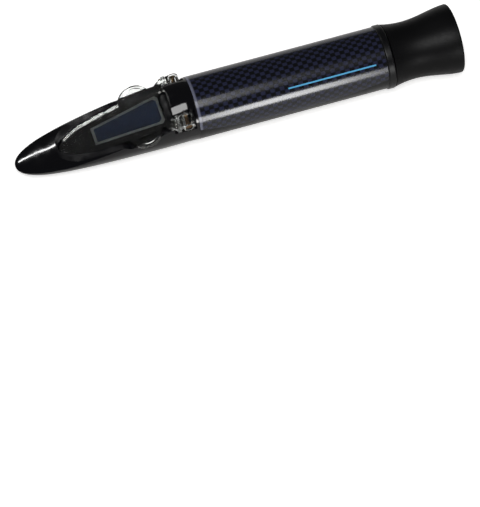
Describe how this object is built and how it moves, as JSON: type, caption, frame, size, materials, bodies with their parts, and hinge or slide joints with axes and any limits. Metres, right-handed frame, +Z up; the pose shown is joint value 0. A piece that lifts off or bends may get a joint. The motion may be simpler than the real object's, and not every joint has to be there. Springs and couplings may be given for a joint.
{
  "type": "hand refractometer",
  "caption": "Hand-held sugar refractometer: bullet nose with hinged clear plate over a raked prism, patterned barrel panel and flared rubber eyecup.",
  "frame": {"origin": "bottom centre of the bounding box, on the surface that the instrument lies on", "axes": "+X along the optical axis from the nose to the eyecup, +Z up through the prism side, Y across"},
  "size_m": [0.207, 0.0322, 0.032],
  "materials": {
    "nose_black": "glossy moulded ABS",
    "barrel_black": "satin moulded ABS",
    "panel_pattern": "glossy printed carbon weave",
    "clear_acrylic": "clear moulded acrylic",
    "prism_glass": "polished optical glass",
    "frame_pale": "pale bonding frame",
    "lens_glass": "coated optical glass",
    "seal_rubber": "nitrile rubber",
    "cup_rubber": "matt soft rubber",
    "inner_black": "matt black moulded parts",
    "anodised": "black anodised turned parts",
    "brass": "turned brass",
    "steel": "stainless steel",
    "bimetal": "rolled bimetal"
  },
  "bodies": {
    "root": {"nose_housing": "nose_black", "front_seal": "seal_rubber", "measuring_prism": "prism_glass", "prism_gasket": "frame_pale", "hinge_pins": "brass", "label_panel": "panel_pattern", "body_barrel": "barrel_black", "rear_collar": "barrel_black", "collar_seal": "seal_rubber", "chassis_tube": "inner_black", "light_baffle": "inner_black", "adjuster_bush": "brass", "guide_pins": "steel", "reticle_cell": "anodised", "reticle": "lens_glass", "reticle_retainer": "anodised"},
    "plate": {"daylight_plate": "clear_acrylic"},
    "adjuster": {"adjuster_screw": "brass", "adjuster_clip": "steel"},
    "carriage": {"adjuster_block": "brass", "bimetal_strip": "bimetal", "strip_screws": "steel", "lens_cell": "anodised", "objective_lens": "lens_glass", "objective_retainer": "anodised"},
    "eyepiece": {"eyepiece_tube": "anodised", "field_lens": "lens_glass", "lens_spacer": "anodised", "eye_lens": "lens_glass", "eye_retainer": "anodised"},
    "eyecup": {"focus_ring": "inner_black", "rubber_eyecup": "cup_rubber"}
  },
  "joints": [
    {"name": "plate_hinge", "type": "hinge", "parent": "root", "child": "plate", "pos_m": [-0.026, 0, 0.0236], "axis": [0, 1, 0], "range_deg": [0, 100]},
    {"name": "adjuster_turn", "type": "hinge", "parent": "root", "child": "adjuster", "pos_m": [0.0005, 0, 0.016], "axis": [0, 0, 1], "range_deg": [-360, 360]},
    {"name": "carriage_lift", "type": "slide", "parent": "root", "child": "carriage", "axis": [0, 0, 1], "range_m": [-0.0005, 0.0005]},
    {"name": "focus_slide", "type": "slide", "parent": "root", "child": "eyepiece", "axis": [1, 0, 0], "range_m": [0, 0.003]},
    {"name": "eyecup_turn", "type": "hinge", "parent": "eyepiece", "child": "eyecup", "pos_m": [0.0825, 0, 0.016], "axis": [1, 0, 0], "range_deg": [0, 180]}
  ],
  "couplings": [
    {"joint": "adjuster_turn", "follows": "carriage_lift", "rad_per_m": 12565},
    {"joint": "eyecup_turn", "follows": "focus_slide", "rad_per_m": 1047.1}
  ]
}
